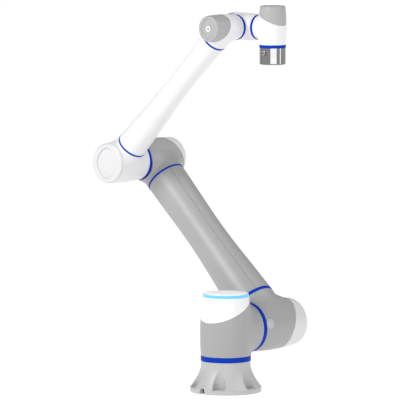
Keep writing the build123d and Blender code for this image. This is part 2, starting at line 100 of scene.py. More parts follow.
# Radii of the modules at their rings, and of the trim rings
RING_PROUD = 0.6
RADIUS_1 = (span("joint_1_ring", X)[1] - span("joint_1_ring", X)[0]) / 2 - RING_PROUD
RADIUS_2 = (span("joint_2_ring", X)[1] - span("joint_2_ring", X)[0]) / 2 - RING_PROUD
RADIUS_3 = (span("joint_3_ring", X)[1] - span("joint_3_ring", X)[0]) / 2 - RING_PROUD
RADIUS_W = (span("joint_4_ring", X)[1] - span("joint_4_ring", X)[0]) / 2 - RING_PROUD
RADIUS_6 = (span("joint_6_ring", X)[1] - span("joint_6_ring", X)[0]) / 2 - RING_PROUD


def trim_radius(node):
    low, high = span(node, Y)
    return (high - low) / 2


def along(node, origin, way):
    """Start and end of a CAD ring that is square to a way, measured from origin."""
    points = np.array([v.co for v in frame["nodes"][node].data.vertices]) / MM
    heights = (points - origin) @ way
    return heights.min(), heights.max()


LOWER_ORIGIN = AXIS_2 + ASIDE * LOWER_Y
FORE_ORIGIN = AXIS_3 + ASIDE * FORE_Y
HIP_TRIM = along("hip_trim_ring", LOWER_ORIGIN, LOWER_WAY)
ELBOW_TRIM = along("elbow_trim_ring", LOWER_ORIGIN, LOWER_WAY)
FORE_TRIM = along("forearm_trim_ring", FORE_ORIGIN, FORE_WAY)
WRIST_TRIM = along("wrist_trim_ring", FORE_ORIGIN, FORE_WAY)


# ------------------------------------------------------------------ materials
def shader(name):
    """A new material with its nodes, and its Principled shader."""
    material = bpy.data.materials.new(name)
    material.use_nodes = True
    return material, material.node_tree, material.node_tree.nodes["Principled BSDF"]


def noise(tree, scale, detail=3.0, stretch=(1, 1, 1)):
    """Noise in the object's own coordinates, which are metres."""
    place = tree.nodes.new("ShaderNodeTexCoord")
    mapping = tree.nodes.new("ShaderNodeMapping")
    mapping.inputs["Scale"].default_value = stretch
    texture = tree.nodes.new("ShaderNodeTexNoise")
    texture.inputs["Scale"].default_value = scale
    texture.inputs["Detail"].default_value = detail
    tree.links.new(place.outputs["Object"], mapping.inputs["Vector"])
    tree.links.new(mapping.outputs["Vector"], texture.inputs["Vector"])
    return texture.outputs["Fac"]


def spread(tree, source, low, high, from_low=0.3, from_high=0.7):
    """The noise value mapped to a range."""
    remap = tree.nodes.new("ShaderNodeMapRange")
    remap.inputs["From Min"].default_value = from_low
    remap.inputs["From Max"].default_value = from_high
    remap.inputs["To Min"].default_value = low
    remap.inputs["To Max"].default_value = high
    tree.links.new(source, remap.inputs["Value"])
    return remap.outputs["Result"]


def tint(tree, source, dark, light):
    """A colour that wanders between two close shades."""
    mix = tree.nodes.new("ShaderNodeMix")
    mix.data_type = "RGBA"
    mix.inputs["A"].default_value = (*dark, 1)
    mix.inputs["B"].default_value = (*light, 1)
    tree.links.new(source, mix.inputs["Factor"])
    return mix.outputs["Result"]


def bump(tree, source, strength, distance):
    relief = tree.nodes.new("ShaderNodeBump")
    relief.inputs["Strength"].default_value = strength
    relief.inputs["Distance"].default_value = distance
    tree.links.new(source, relief.inputs["Height"])
    return relief.outputs["Normal"]


def coated(name, colour, roughness, grain=0.06, coat=0.0, metallic=0.0, shine=0.5):
    """Powder paint or moulded plastic: a fine orange peel, and a slow drift in shade and gloss."""
    material, tree, surface = shader(name)
    drift = noise(tree, 9.0)
    dark = [channel * 0.965 for channel in colour]
    light = [min(channel * 1.02, 1.0) for channel in colour]
    tree.links.new(tint(tree, drift, dark, light), surface.inputs["Base Color"])
    gloss = spread(tree, noise(tree, 60.0), roughness - 0.03, roughness + 0.04)
    tree.links.new(gloss, surface.inputs["Roughness"])
    peel = noise(tree, 1400.0, 2.0)
    tree.links.new(bump(tree, peel, grain, 0.00025), surface.inputs["Normal"])
    surface.inputs["Metallic"].default_value = metallic
    surface.inputs["Specular IOR Level"].default_value = shine
    surface.inputs["Coat Weight"].default_value = coat
    surface.inputs["Coat Roughness"].default_value = 0.15
    return material


def lit(name, colour, strength):
    """A translucent light band that glows a little unevenly."""
    material, tree, surface = shader(name)
    dark = [channel * 0.9 for channel in colour]
    glow = tint(tree, noise(tree, 30.0), dark, colour)
    tree.links.new(glow, surface.inputs["Base Color"])
    tree.links.new(glow, surface.inputs["Emission Color"])
    surface.inputs["Emission Strength"].default_value = strength
    tree.links.new(spread(tree, noise(tree, 80.0), 0.28, 0.36), surface.inputs["Roughness"])
    return material


def turned_steel(name, colour, roughness, ring_scale=900.0):
    """Bright turned steel: fine rings round the piece from the lathe."""
    material, tree, surface = shader(name)
    rings = noise(tree, ring_scale, 2.0, stretch=(0.02, 0.02, 1.0))
    dark = [channel * 0.92 for channel in colour]
    tree.links.new(tint(tree, rings, dark, colour), surface.inputs["Base Color"])
    gloss = spread(tree, rings, roughness - 0.04, roughness + 0.06)
    tree.links.new(gloss, surface.inputs["Roughness"])
    tree.links.new(bump(tree, rings, 0.08, 0.0001), surface.inputs["Normal"])
    surface.inputs["Metallic"].default_value = 1.0
    return material


BASE_GREY = coated("base_grey_paint", (0.47, 0.47, 0.47), 0.40)
CASTING_GREY = coated("casting_grey_paint", (0.35, 0.35, 0.349), 0.40)
CASTING_WHITE = coated("casting_white_paint", (0.75, 0.75, 0.76), 0.38)
CAP_WHITE = coated("cap_white_plastic", (0.83, 0.83, 0.84), 0.34)
CAP_PALE = coated("cap_pale_plastic", (0.66, 0.665, 0.665), 0.36)
LID_WHITE = coated("lid_white_plastic", (0.95, 0.95, 0.95), 0.45)
COVER_WHITE = coated("cover_white_plastic", (0.65, 0.65, 0.66), 0.34)
# Near-black paint for the earth niche's back wall: painted shade in the recess
NICHE_SHADE_PAINT = coated("niche_painted_shade", (0.03, 0.03, 0.03), 0.5)
CAP_GREY = coated("cap_grey_plastic", (0.37, 0.37, 0.37), 0.36)
RING_BLUE = coated("ring_blue_plastic", (0.002, 0.040, 0.42), 0.42, grain=0.03, shine=0.05)
STATUS_LIGHT = lit("status_light_glow", (0.11, 0.48, 0.80), 0.4)
TOOL_STEEL = turned_steel("tool_flange_steel", (0.235, 0.235, 0.24), 0.12)
SCREW_STEEL = turned_steel("screw_steel", (0.17, 0.17, 0.175), 0.35)
DRIVE_STEEL = turned_steel("drive_steel", (0.36, 0.36, 0.37), 0.35)
COPPER = coated("motor_copper", (0.45, 0.19, 0.09), 0.4, metallic=0.8)
PLATE_METAL = coated("plate_metal", (0.5, 0.5, 0.51), 0.45, metallic=0.7)
CONNECTOR_METAL = turned_steel("connector_metal", (0.50, 0.49, 0.47), 0.25)


def dress(obj, material):
    obj.data.materials.clear()
    obj.data.materials.append(material)
    return obj


# ------------------------------------------------------------------ mesh building
def make_object(name, mesh, material, body, nodes):
    obj = bpy.data.objects.new(name, mesh)
    bpy.context.scene.collection.objects.link(obj)
    dress(obj, material)
    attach(obj, body)
    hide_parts(*nodes)
    return obj


def turned(name, origin, axis, profile, segments=160):
    """A closed surface of revolution; profile is a closed loop of (radius, height)."""
    axis = unit(axis)
    side = unit(np.cross(axis, ASIDE if abs(axis @ ASIDE) < 0.9 else RIGHT))
    across = np.cross(axis, side)
    turn = np.linspace(0, 2 * math.pi, segments, endpoint=False)
    rim = np.outer(np.cos(turn), side) + np.outer(np.sin(turn), across)
    bm = bmesh.new()
    rows = []
    for radius, height in profile:
        if radius < 1e-6:
            centre = bm.verts.new((origin + axis * height) * MM)
            rows.append([centre] * segments)
        else:
            ring = (origin + axis * height + rim * radius) * MM
            rows.append([bm.verts.new(point) for point in ring])
    for first, second in zip(rows, rows[1:] + rows[:1]):
        for i in range(segments):
            j = (i + 1) % segments
            corners = list(dict.fromkeys([first[i], first[j], second[j], second[i]]))
            if len(corners) > 2:
                bm.faces.new(corners)
    bmesh.ops.recalc_face_normals(bm, faces=bm.faces)
    mesh = bpy.data.meshes.new(name)
    bm.to_mesh(mesh)
    bm.free()
    mesh.shade_smooth()
    mesh.set_sharp_from_angle(angle=math.radians(32))
    return mesh


def rounded(points, radius, steps=4):
    """A closed outline with each corner rounded. points: (x, y) or (x, y, own radius)."""
    outline = []
    count = len(points)
    for i, point in enumerate(points):
        here = np.array(point[:2], float)
        before = np.array(points[i - 1][:2], float)
        after = np.array(points[(i + 1) % count][:2], float)
        corner = point[2] if len(point) > 2 else radius
        if corner <= 0:
            outline.append(tuple(here))
            continue
        to_before = unit(before - here)
        to_after = unit(after - here)
        half = math.acos(np.clip(to_before @ to_after, -1, 1)) / 2
        reach = corner / math.tan(half)
        start = here + to_before * reach
        end = here + to_after * reach
        for t in np.linspace(0, 1, steps + 1):
            point_on = (1 - t) ** 2 * start + 2 * t * (1 - t) * here + t**2 * end
            outline.append(tuple(point_on))
    return outline


def surface_net(values, low, step):
    """Quads on the zero level of a grid of values, one vertex in each cell it crosses."""
    inside = values < 0
    shape = [n - 1 for n in values.shape]
    corners = [(a, b, c) for a in (0, 1) for b in (0, 1) for c in (0, 1)]

    def at(array, corner):
        a, b, c = corner
        return array[a:a + shape[0], b:b + shape[1], c:c + shape[2]]

    count = sum(at(inside, corner).astype(np.int8) for corner in corners)
    active = (count > 0) & (count < 8)
    index = np.full(active.shape, -1)
    index[active] = np.arange(active.sum())
    cells = np.argwhere(active)
    total = np.zeros((len(cells), 3))
    crossings = np.zeros(len(cells))
    for corner in corners:
        for axis in range(3):
            if corner[axis]:
                continue
            other = tuple(1 if k == axis else corner[k] for k in range(3))
            first = at(values, corner)[active]
            second = at(values, other)[active]
            crossed = (first < 0) != (second < 0)
            share = np.where(crossed, first / np.where(crossed, first - second, 1), 0)
            place = np.array(corner, float) + share[:, None] * np.eye(3)[axis]
            total += np.where(crossed[:, None], place, 0)
            crossings += crossed
    points = low + (cells + total / crossings[:, None]) * step
    quads = []
    for axis in range(3):
        u, v = (axis + 1) % 3, (axis + 2) % 3
        ahead = np.take(inside, range(1, values.shape[axis]), axis)
        behind = np.take(inside, range(values.shape[axis] - 1), axis)
        edges = np.argwhere(ahead != behind)
        keep = (edges[:, u] > 0) & (edges[:, v] > 0)
        keep &= (edges[:, u] < shape[u]) & (edges[:, v] < shape[v])
        edges = edges[keep]
        leaves = behind[tuple(edges.T)]
        ring = []
        for du, dv in ((0, 0), (1, 0), (1, 1), (0, 1)):
            cell = edges.copy()
            cell[:, u] -= du
            cell[:, v] -= dv
            ring.append(index[tuple(cell.T)])
        ring = np.stack(ring, 1)
        ring[~leaves] = ring[~leaves][:, ::-1]
        quads.append(ring)
    quads = np.concatenate(quads)
    return points, quads[(quads >= 0).all(1)]


def slope_of(field, points, step=0.05):
    """Gradient of a field by central differences."""
    slopes = []
    for axis in np.eye(3) * step:
        slopes.append((field(points + axis) - field(points - axis)) / (2 * step))
    return np.stack(slopes, 1)


def settle(field, points, rounds=5):
    """Moves points onto the field's zero level."""
    for _ in range(rounds):
        slope = slope_of(field, points)
        points = points - slope * (field(points) / np.maximum((slope**2).sum(1), 0.05))[:, None]
    return points


class Shape:
    """A smooth cast shape, given by a field in its own frame, meshed once and cut as needed."""

    def __init__(self, field, low, high, step, origin=(0, 0, 0), basis=None):
        self.field = field
        self.origin = np.array(origin, float)
        self.basis = np.eye(3) if basis is None else np.array(basis)
        axes = [np.arange(a, b + step, step) for a, b in zip(low, high)]
        grid = np.stack(np.meshgrid(*axes, indexing="ij"), -1)
        values = field(grid.reshape(-1, 3)).reshape(grid.shape[:3])
        points, self.quads = surface_net(values, np.array(low, float), step)
        self.points = settle(field, points)

    def piece(self, name, cuts, lip=3.0, ease=0.5):
        """The surface inside each cut, a (point, outward normal) pair, with a turned-in lip."""
        bm = bmesh.new()
        verts = [bm.verts.new(point) for point in self.points]
        for quad in self.quads:
            corners = list(dict.fromkeys(verts[i] for i in quad))
            if len(corners) > 2:
                bm.faces.new(corners)
        lip_layer = bm.faces.layers.int.new("lip")
        for point, normal in cuts:
            point = np.array(point, float)
            normal = unit(normal)
            geometry = bm.verts[:] + bm.edges[:] + bm.faces[:]
            bmesh.ops.bisect_plane(
                bm, geom=geometry, dist=0.02, plane_co=point - normal * ease, plane_no=normal,
                clear_outer=True,
            )
            rim = []
            for edge in bm.edges:
                ends = [np.array(vert.co) for vert in edge.verts]
                heights = [abs((end - point) @ normal + ease) for end in ends]
                if edge.is_boundary and max(heights) < 0.1:
                    rim.append(edge)
            for outward, inward in ((ease, ease), (0.0, lip), (-lip, 0.0)):
                made = bmesh.ops.extrude_edge_only(bm, edges=rim)["geom"]
                new_verts = [item for item in made if isinstance(item, bmesh.types.BMVert)]
                rim = [item for item in made if isinstance(item, bmesh.types.BMEdge)]
                for face in (item for item in made if isinstance(item, bmesh.types.BMFace)):
                    face[lip_layer] = 1
                places = np.array([vert.co for vert in new_verts])
                if not len(places):
                    break
                way_out = slope_of(self.field, places)
                way_out -= np.outer(way_out @ normal, normal)
                way_out /= np.maximum(np.linalg.norm(way_out, axis=1), 1e-6)[:, None]
                places = places + normal * outward - way_out * inward
                for vert, place in zip(new_verts, places):
                    vert.co = place
        loose = [vert for vert in bm.verts if not vert.link_faces]
        bmesh.ops.delete(bm, geom=loose, context="VERTS")
        bmesh.ops.recalc_face_normals(bm, faces=bm.faces)
        body = [face for face in bm.faces if not face[lip_layer]]
        sample = body[:: max(1, len(body) // 400)]
        centres = np.array([face.calc_center_median() for face in sample])
        facing = (slope_of(self.field, centres) * [tuple(face.normal) for face in sample]).sum(1)
        if facing.mean() < 0:
            bmesh.ops.reverse_faces(bm, faces=bm.faces)
        return self.to_mesh(bm, name)

    def to_mesh(self, bm, name):
        """The mesh in the shared frame, shaded with the field's own normals."""
        bm.normal_update()
        mesh = bpy.data.meshes.new(name)
        bm.to_mesh(mesh)
        bm.free()
        count = len(mesh.vertices)
        local = np.zeros(count * 3)
        mesh.vertices.foreach_get("co", local)
        local = local.reshape(-1, 3)
        normals = slope_of(self.field, local)
        normals /= np.maximum(np.linalg.norm(normals, axis=1), 1e-9)[:, None]
        normals = normals @ self.basis
        mesh.vertices.foreach_set("co", ((local @ self.basis + self.origin) * MM).ravel())
        mesh.update()
        mesh.shade_smooth()
        lip = np.zeros(len(mesh.polygons), int)
        mesh.attributes["lip"].data.foreach_get("value", lip)
        mesh.attributes.remove(mesh.attributes["lip"])
        corner_vert = np.zeros(len(mesh.loops), int)
        mesh.loops.foreach_get("vertex_index", corner_vert)
        corner_normals = normals[corner_vert]
        for polygon in mesh.polygons:
            if lip[polygon.index]:
                corner_normals[list(polygon.loop_indices)] = polygon.normal
        mesh.normals_split_custom_set(corner_normals.tolist())
        return mesh


def round_join(first, second, radius):
    """Union of two fields with a circular fillet between them."""
    radius = np.maximum(radius, 0.01)
    a = np.maximum(radius - first, 0)
    b = np.maximum(radius - second, 0)
    return np.maximum(radius, np.minimum(first, second)) - np.hypot(a, b)


def round_meet(first, second, radius):
    """Intersection of two fields with a rounded edge."""
    a = first + radius
    b = second + radius
    return np.hypot(np.maximum(a, 0), np.maximum(b, 0)) + np.minimum(np.maximum(a, b), 0) - radius


def ease_step(value):
    value = np.clip(value, 0, 1)
    return value * value * (3 - 2 * value)


def bowed(start, end, near, mid, far):
    """Radius against height: a quadratic through three radii."""
    def radius(height):
        t = (height - start) / (end - start)
        return near * (1 - t) * (1 - 2 * t) + mid * 4 * t * (1 - t) + far * t * (2 * t - 1)
    return radius


def dish_field(across, upright, width, height, power=2.5):
    """Below zero inside a rounded diamond that stands on its point."""
    u = (across / width + upright / height) / math.sqrt(2)
    v = (across / width - upright / height) / math.sqrt(2)
    reach = (np.abs(u) ** power + np.abs(v) ** power) ** (1 / power)
    return (reach * 2 - 1) * width / 2


class Housing:
    """A joint housing: a bowed barrel with a rounded end and a side branch that flows into it.

    Its own frame has X along the branch, Z along the barrel towards the cap, and its origin on the
    joint's axis at the ring.
    """

    def __init__(self, origin, axis, way, radii, start, end, edge, height, reach, near, far, blend,
                 step, dish=None):
        self.axis = unit(axis)
        self.way = unit(way)
        self.across = np.cross(self.axis, self.way)
        self.radii = bowed(start, end, *radii)
        self.start, self.end, self.edge = start, end, edge
        self.height, self.reach, self.near, self.far = height, reach, near, far
        self.blend, self.dish = blend, dish
        self.basis = np.array([self.way, self.across, self.axis])
        biggest = max(radii) + 2 * step
        low = (-biggest, -biggest, start - 3 * step)
        high = (reach + 3 * step, biggest, end + 2 * step)
        self.shape = Shape(self.field, low, high, step, origin, self.basis)

    def field(self, p):
        x, y, z = p.T
        radial = np.maximum(np.hypot(x, y), 1e-6)
        face = z - self.end
        if self.dish:
            world = p @ self.basis
            inside = -dish_field(world[:, X], world[:, Z], self.dish[0], self.dish[1])
            face = face + self.dish[2] * ease_step(inside / self.dish[3] + 0.5)
        barrel = radial - self.radii(z)
        across = np.maximum(np.hypot(y, z - self.height), 1e-6)
        share = np.clip(x / self.reach, 0, 1)
        branch = np.maximum(across - (self.near + (self.far - self.near) * share), -x)
        facing = np.clip((y / radial) * (y / across), 0, 1)
        room = self.reach - x
        fillet = self.blend * (1 - facing**2) * ease_step(room / (0.42 * self.reach) + 0.12)
        joined = round_join(barrel, branch, np.minimum(fillet, self.blend))
        return round_meet(joined, face, self.edge)

    def ends(self):
        """The cuts at the joint's ring and at the end of the branch."""
        return [((0, 0, self.start), (0, 0, -1)), ((self.reach, 0, self.height), (1, 0, 0))]

    def seam(self, height, rise, side, gap=0.35):
        """The cut along the cap's seam; side is 1 to keep the housing and -1 to keep the cap."""
        normal = unit((-rise, 0, 1)) * side
        return (np.array([0, 0, height]) - normal * gap, normal)


# ------------------------------------------------------------------ base
FLANGE_RADIUS = (span("base_casting", X)[1] - span("base_casting", X)[0]) / 2
FLANGE_HEIGHT = 17.0
NECK_RADIUS = RADIUS_1 - 0.5
FLARE_HEIGHT = 81.0
FLARE_POWER = 1.6
BOLTS = next(m for m in frame["record"]["mounts"] if m["name"] == "base_bolts")["dims"]
POCKET_RADIUS = 24.5
BOSS_FACE, BOSS_ROOT = 127.0, 60.0
BOSS_HALF, BOSS_TOP = 15.0, 30.0
BOSS_EDGE, BOSS_BLEND = 2.5, 5.0
NICHE_HALF, NICHE_TOP, NICHE_DEPTH = 10.5, 23.0, 14.0
PLATE_RADIUS = (span("base_bottom_plate", X)[1] - span("base_bottom_plate", X)[0]) / 2
PLATE_TOP = span("base_bottom_plate", Z)[1]
POCKET_EDGE, HOLE_EDGE, NICHE_EDGE, FOOT_EDGE, PLATE_EDGE = 1.2, 1.0, 1.5, 1.5, 0.4
BASE_STEP = 2.0


def doorway(x, z, half, top):
    """Distance from an arched doorway outline that stands on the floor."""
    return np.where(z > top - half, np.hypot(x, z - (top - half)), np.abs(x)) - half


def base_field(p):
    x, y, z = p.T
    rho = np.hypot(x, y)
    rise = np.clip(1 - (z - FLANGE_HEIGHT) / FLARE_HEIGHT, 0, 1)
    flare = NECK_RADIUS + (FLANGE_RADIUS - NECK_RADIUS) * rise**FLARE_POWER
    body = rho - np.minimum(flare, FLANGE_RADIUS)
    boss = round_meet(doorway(x, z, BOSS_HALF, BOSS_TOP), -BOSS_FACE - y, BOSS_EDGE)
    body = round_join(body, np.maximum(boss, y + BOSS_ROOT), BOSS_BLEND)
    turn = 2 * math.pi / BOLTS["count"]
    nearest = np.round(np.arctan2(y, x) / turn) * turn
    bolt_x = np.cos(nearest) * BOLTS["pcd_mm"] / 2
    bolt_y = np.sin(nearest) * BOLTS["pcd_mm"] / 2
    from_bolt = np.hypot(x - bolt_x, y - bolt_y)
    pocket = np.maximum(from_bolt - POCKET_RADIUS, FLANGE_HEIGHT - z)
    body = round_meet(body, -pocket, POCKET_EDGE)
    body = round_meet(body, BOLTS["hole_r_mm"] - from_bolt, HOLE_EDGE)
    niche = np.maximum(doorway(x, z, NICHE_HALF, NICHE_TOP), y + BOSS_FACE - NICHE_DEPTH)
    body = round_meet(body, -niche, NICHE_EDGE)
    body = round_meet(body, -z, FOOT_EDGE)
    return round_meet(body, -np.maximum(rho - PLATE_RADIUS, z - PLATE_TOP), PLATE_EDGE)


reach = FLANGE_RADIUS + 6
base_shape = Shape(
    base_field, (-reach, -reach, -5), (reach, reach, RING_1[0] + 8), BASE_STEP
)
base_mesh = base_shape.piece("base_casting_shell", [((0, 0, RING_1[0]), (0, 0, 1))])
make_object("base_casting_shell", base_mesh, BASE_GREY, "base", ["base_casting"])

# A near-black sheet on the back wall of the earth niche: painted shade in the recess
SHADE_SHEET_MARGIN, SHADE_SHEET_STANDOFF, SHADE_SHEET_FOOT = 0.4, 0.3, 0.5
shade_sheet_half = NICHE_HALF - SHADE_SHEET_MARGIN
shade_sheet_spring = NICHE_TOP - NICHE_HALF
shade_sheet_y = NICHE_DEPTH - SHADE_SHEET_STANDOFF - BOSS_FACE
outline = [(shade_sheet_half, SHADE_SHEET_FOOT)]
for turn in np.linspace(0, math.pi, 25):
    outline.append((shade_sheet_half * math.cos(turn), shade_sheet_spring + shade_sheet_half * math.sin(turn)))
outline.append((-shade_sheet_half, SHADE_SHEET_FOOT))
shade_sheet_points = [(x * MM, shade_sheet_y * MM, z * MM) for x, z in outline]
shade_sheet_mesh = bpy.data.meshes.new("niche_shade_sheet")
shade_sheet_mesh.from_pydata(shade_sheet_points, [], [tuple(range(len(outline)))])
make_object("niche_shade_sheet", shade_sheet_mesh, NICHE_SHADE_PAINT, "base", [])


# ------------------------------------------------------------------ housings and caps
def centre(ring):
    return (ring[0] + ring[1]) / 2


def half(ring):
    return (ring[1] - ring[0]) / 2


COLUMN_TOP_RADIUS = 85.0
HOUSINGS = {
    "column": dict(
        origin=UP * centre(RING_1), axis=UP, way=ASIDE,
        radii=(RADIUS_1, RADIUS_1 + 2.5, COLUMN_TOP_RADIUS),
        start=half(RING_1) + GAP, end=LIGHT[0] - centre(RING_1), edge=0.5,
        height=AXIS_2[2] - centre(RING_1), reach=RING_2[0], near=RADIUS_2 - 1.5, far=RADIUS_2,
        blend=34, step=3.4,
    ),
    "hip": dict(
        origin=AXIS_2 + ASIDE * centre(RING_2), axis=ASIDE, way=LOWER_WAY,
        radii=(RADIUS_2, RADIUS_2 + 3.5, RADIUS_2 - 5), start=half(RING_2) + GAP,
        end=span("hip_cap", Y)[1] - centre(RING_2), edge=17,
        height=LOWER_Y - centre(RING_2), reach=HIP_TRIM[0], near=86.5, far=86, blend=42, step=3.4,
    ),
    "elbow": dict(
        origin=AXIS_3 + ASIDE * centre(RING_3), axis=ASIDE, way=-LOWER_WAY,
        radii=(RADIUS_3, RADIUS_3 + 6.4, RADIUS_3 + 3), start=half(RING_3) + GAP,
        end=span("elbow_cap", Y)[1] - centre(RING_3), edge=14,
        height=LOWER_Y - centre(RING_3), reach=UPPER_ARM - ELBOW_TRIM[1], near=76, far=75.6,
        blend=38, step=3.0,
    ),
    "elbow_cover": dict(
        origin=AXIS_3 + ASIDE * centre(RING_3), axis=-ASIDE, way=FORE_WAY,
        radii=(RADIUS_3, RADIUS_3 + 4.8, RADIUS_3 + 1.8), start=half(RING_3),
        end=centre(RING_3) - span("elbow_cover_cap", Y)[0], edge=9,
        height=centre(RING_3) - FORE_Y, reach=FORE_TRIM[0], near=57.5, far=57, blend=38, step=2.6,
        dish=(94, 108, 7.0, 4.2),
    ),
    "wrist_1": dict(
        origin=AXIS_4 + ASIDE * centre(RING_4), axis=-ASIDE, way=-FORE_WAY,
        radii=(RADIUS_W, RADIUS_W + 4.5, RADIUS_W + 1), start=half(RING_4) + GAP,
        end=centre(RING_4) - span("wrist_1_cap", Y)[0], edge=7,
        height=centre(RING_4) - FORE_Y, reach=FOREARM - WRIST_TRIM[1], near=48.5, far=48.2,
        blend=22, step=1.8, dish=(60, 68, 3.6, 3.0),
    ),
    "wrist_2": dict(
        origin=np.array([centre(RING_5), WRIST_Y, WRIST_Z]), axis=-RIGHT, way=-ASIDE,
        radii=(RADIUS_W, RADIUS_W + 4.5, RADIUS_W + 0.5), start=half(RING_5) + GAP,
        end=centre(RING_5) - span("wrist_2_cap", X)[0], edge=7,
        height=centre(RING_5) - AXIS_4[0], reach=WRIST_Y - RING_4[1], near=47.5, far=RADIUS_W,
        blend=16, step=2.2,
    ),
    "wrist_3": dict(
        origin=np.array([TOOL_X, WRIST_Y, centre(RING_6)]), axis=UP, way=-RIGHT,
        radii=(RADIUS_6, RADIUS_6 + 2.5, RADIUS_6 - 1.5), start=half(RING_6) + GAP,
        end=span("wrist_3_cap", Z)[1] - centre(RING_6), edge=7,
        height=WRIST_Z - centre(RING_6), reach=TOOL_X - RING_5[1], near=47.5, far=RADIUS_W,
        blend=18, step=2.2,
    ),
}
COLUMN_SEAM_Z = 305.0
COVER_CAP_DEPTH = 9.0
COVER_SEAM = FORE_Y - span("elbow_cover_cap", Y)[0] - COVER_CAP_DEPTH
# Each seam: height above the branch's axis where it crosses the barrel's axis, and its rise
SEAMS = {
    "column": (COLUMN_SEAM_Z - AXIS_2[2], 0.5),
    "hip": (72, 0.42),
    "elbow": (66, 0.4),
    "elbow_cover": (COVER_SEAM, 0.0),
    "wrist_1": (41, 0.57),
    "wrist_2": (33.5, 0.46),
    "wrist_3": (33.5, 0.46),
}
FINISH = {
    "column": ("column", CASTING_GREY, "casting_grey", CAP_WHITE, "cap_white"),
    "hip": ("lower_arm", CASTING_GREY, "casting_grey", CAP_PALE, "cap_white"),
    "elbow": ("lower_arm", CASTING_GREY, "casting_grey", CAP_PALE, "cap_white"),
    "elbow_cover": ("forearm", CASTING_WHITE, "casting_white", COVER_WHITE, "cap_white"),
    "wrist_1": ("forearm", CASTING_WHITE, "casting_white", CAP_GREY, "cap_grey"),
    "wrist_2": ("wrist_2", CASTING_WHITE, "casting_white", CAP_GREY, "cap_grey"),
    "wrist_3": ("wrist_3", CASTING_WHITE, "casting_white", CAP_GREY, "cap_grey"),
}
housings = {}
for name, facts in HOUSINGS.items():
    housing = Housing(**facts)
    housings[name] = housing
    body, shell_paint, shell_slot, cap_paint, cap_slot = FINISH[name]
    above, rise = SEAMS[name]
    seam_height = housing.height + above
    top = [((0, 0, housing.end), (0, 0, 1))] if name == "column" else []
    shell_cuts = housing.ends() + [housing.seam(seam_height, rise, 1)]
    shell = housing.shape.piece(f"{name}_shell", shell_cuts)
    cap = housing.shape.piece(f"{name}_cap_shell", [housing.seam(seam_height, rise, -1)] + top)
    make_object(f"{name}_shell", shell, shell_paint, body, [f"{name}_housing"])
    make_object(f"{name}_cap_shell", cap, cap_paint, body, [f"{name}_cap"])


# Share of the cover disc's radius, and how far the disc stands off the barrel there
DISC_PROFILE = ((0.001, 0.7), (0.35, 0.7), (0.7, 0.7), (0.93, 0.65), (0.99, 0.3), (1.0, -0.8))


def cover_disc(name, housing, facing, height, radius, material, body):
    """A thin round cover that lies on a housing's barrel and is bent to its surface."""
    normal = unit(housing.basis @ np.array(facing, float) * [1, 1, 0])
    place = normal * housing.radii(height) + np.array([0, 0, height])
    side = np.cross([0, 0, 1], normal)
    turn = np.linspace(0, 2 * math.pi, 48, endpoint=False)
    rim = np.outer(np.cos(turn), side) + np.outer(np.sin(turn), [0, 0, 1])
    rows = [place[None, :] + rim * share * radius for share, _ in DISC_PROFILE]
    lifts = np.repeat([lift for _, lift in DISC_PROFILE], len(turn))
    points = settle(housing.field, np.concatenate(rows))
    slopes = slope_of(housing.field, points)
    points = points + slopes / np.linalg.norm(slopes, axis=1)[:, None] * lifts[:, None]
    points = (points @ housing.basis + housing.shape.origin) * MM
    count = len(turn)
    faces = []
    for row in range(len(rows) - 1):
        for i in range(count):
            j = (i + 1) % count
            inner, outer = row * count, (row + 1) * count
            faces.append((inner + i, outer + i, outer + j, inner + j))
    mesh = bpy.data.meshes.new(name)
    mesh.from_pydata(points.tolist(), [], faces)
    mesh.shade_smooth()
    make_object(name, mesh, material, body, [])


HIP_DISC_Y, HIP_DISC_RADIUS = 144.8, 19.0
HIP_DISC_FACING = (0.98, 0, 0.19)
cover_disc(
    "hip_cover_disc", housings["hip"], HIP_DISC_FACING, HIP_DISC_Y - centre(RING_2),
    HIP_DISC_RADIUS, BASE_GREY, "lower_arm",
)

# ------------------------------------------------------------------ column top
light_low, light_high = LIGHT
LIGHT_RADIUS = (span("status_light_ring", X)[1] - span("status_light_ring", X)[0]) / 2
LID_RADIUS = (span("column_lid", X)[1] - span("column_lid", X)[0]) / 2
DISC_RADIUS = 75.5
# Profiles are (radius, height, corner rounding)
band = [
    (LIGHT_RADIUS - 8, light_low, 0), (LIGHT_RADIUS - 0.2, light_low, 0.6),
    (LIGHT_RADIUS - 0.6, light_high, 1.2), (LIGHT_RADIUS - 8, light_high, 0),
]
light_mesh = turned("status_light_band", np.zeros(3), UP, rounded(band, 1))
make_object(
    "status_light_band", light_mesh, STATUS_LIGHT, "column", ["status_light_ring"]
)
lid_edge = LID_TOP - 1.4
lid = [
    (0, light_high, 0), (LID_RADIUS - 0.6, light_high, 0.5), (LID_RADIUS - 2.4, lid_edge - 1, 2.2),
    (DISC_RADIUS + 1.2, lid_edge, 0.8), (DISC_RADIUS + 0.8, lid_edge - 1.2, 0.3),
    (DISC_RADIUS + 0.1, lid_edge - 1.2, 0.3), (DISC_RADIUS - 0.6, LID_TOP, 0.8), (0, LID_TOP, 0),
]
lid_mesh = turned("column_lid_disc", np.zeros(3), UP, rounded(lid, 1))
make_object("column_lid_disc", lid_mesh, LID_WHITE, "column", ["column_lid"])


# ------------------------------------------------------------------ rings
def band_mesh(name, origin, axis, low, high, radius, depth=6.0, corner=1.3):
    inner = radius - depth
    corners = [(inner, low, 0), (radius, low), (radius, high), (inner, high, 0)]
    return turned(name, origin, axis, rounded(corners, corner))


